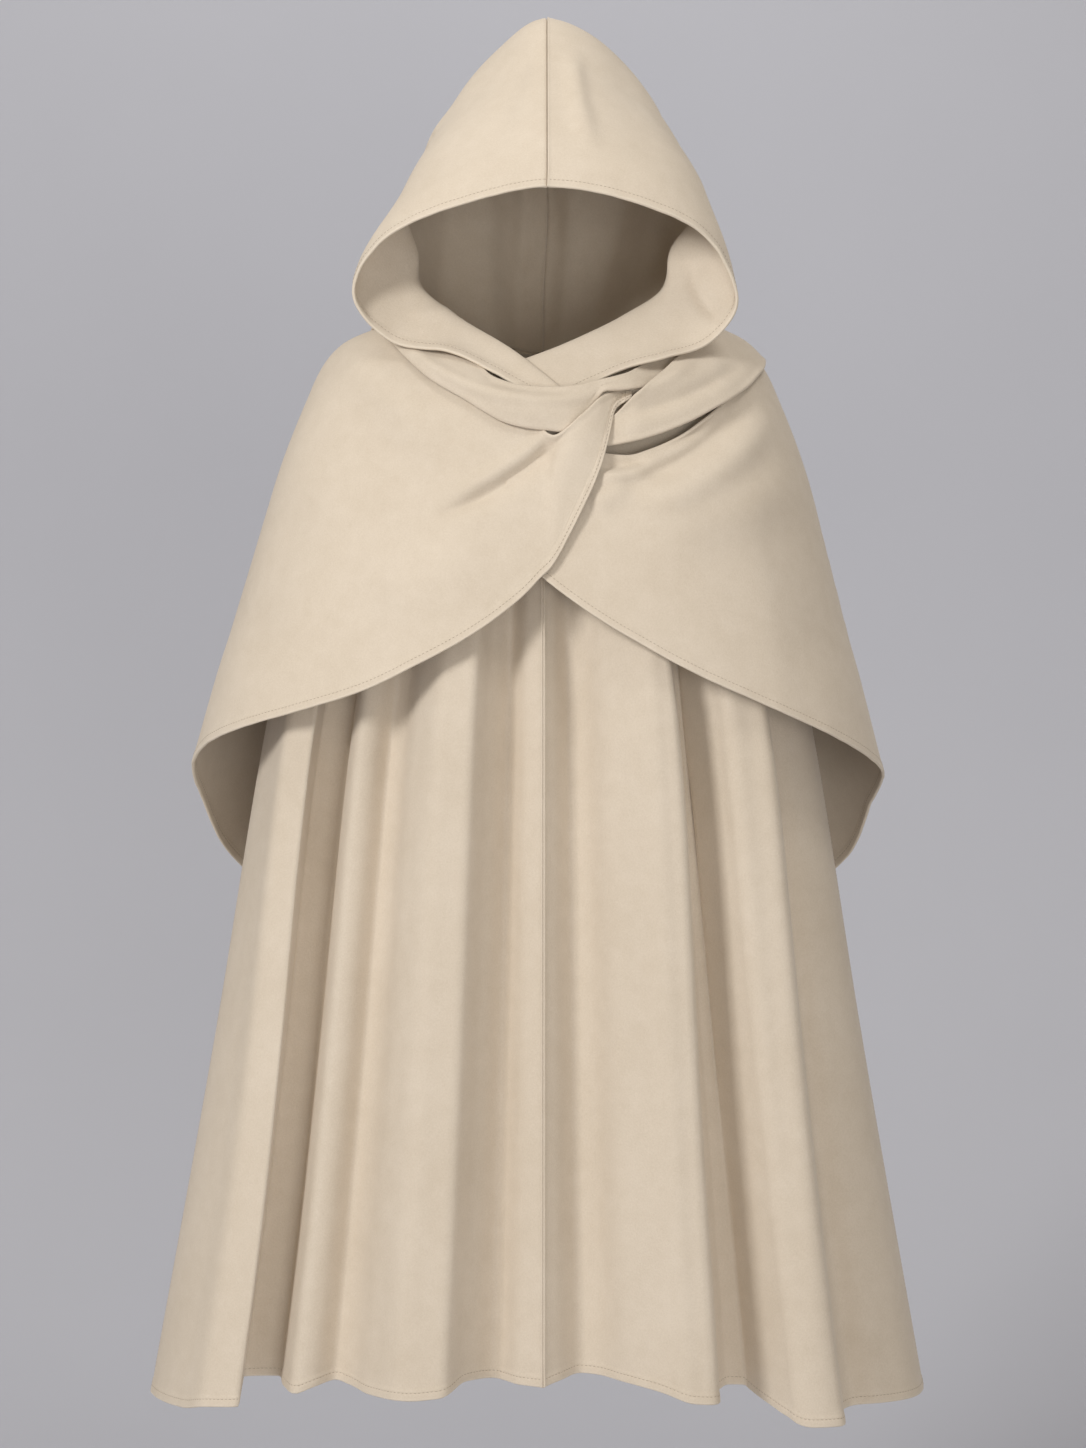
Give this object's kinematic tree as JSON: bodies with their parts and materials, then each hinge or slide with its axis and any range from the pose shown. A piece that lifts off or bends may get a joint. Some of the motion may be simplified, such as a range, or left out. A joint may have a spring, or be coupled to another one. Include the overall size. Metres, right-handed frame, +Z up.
{
  "type": "hooded cloak",
  "caption": "Long hooded cloak with a crossed shoulder cape and soft folded body, open at neck, face and hem.",
  "frame": {"origin": "middle of the wearer's neck base, where the neck and shoulders hold the cloak up", "axes": "+Z up, the front of the cloak faces -Y, the wearer's right side is at -X"},
  "size_m": [0.8016, 0.4764, 1.433],
  "materials": {
    "cloak_cloth": "soft felted beige woollen cloth with a fine short nap, matt"
  },
  "bodies": {
    "root": {"hood_left": "cloak_cloth", "hood_right": "cloak_cloth", "cape_left": "cloak_cloth", "cape_right": "cloak_cloth", "band_left": "cloak_cloth", "band_right": "cloak_cloth", "body_front_left": "cloak_cloth", "body_front_right": "cloak_cloth", "body_back": "cloak_cloth"}
  },
  "joints": []
}
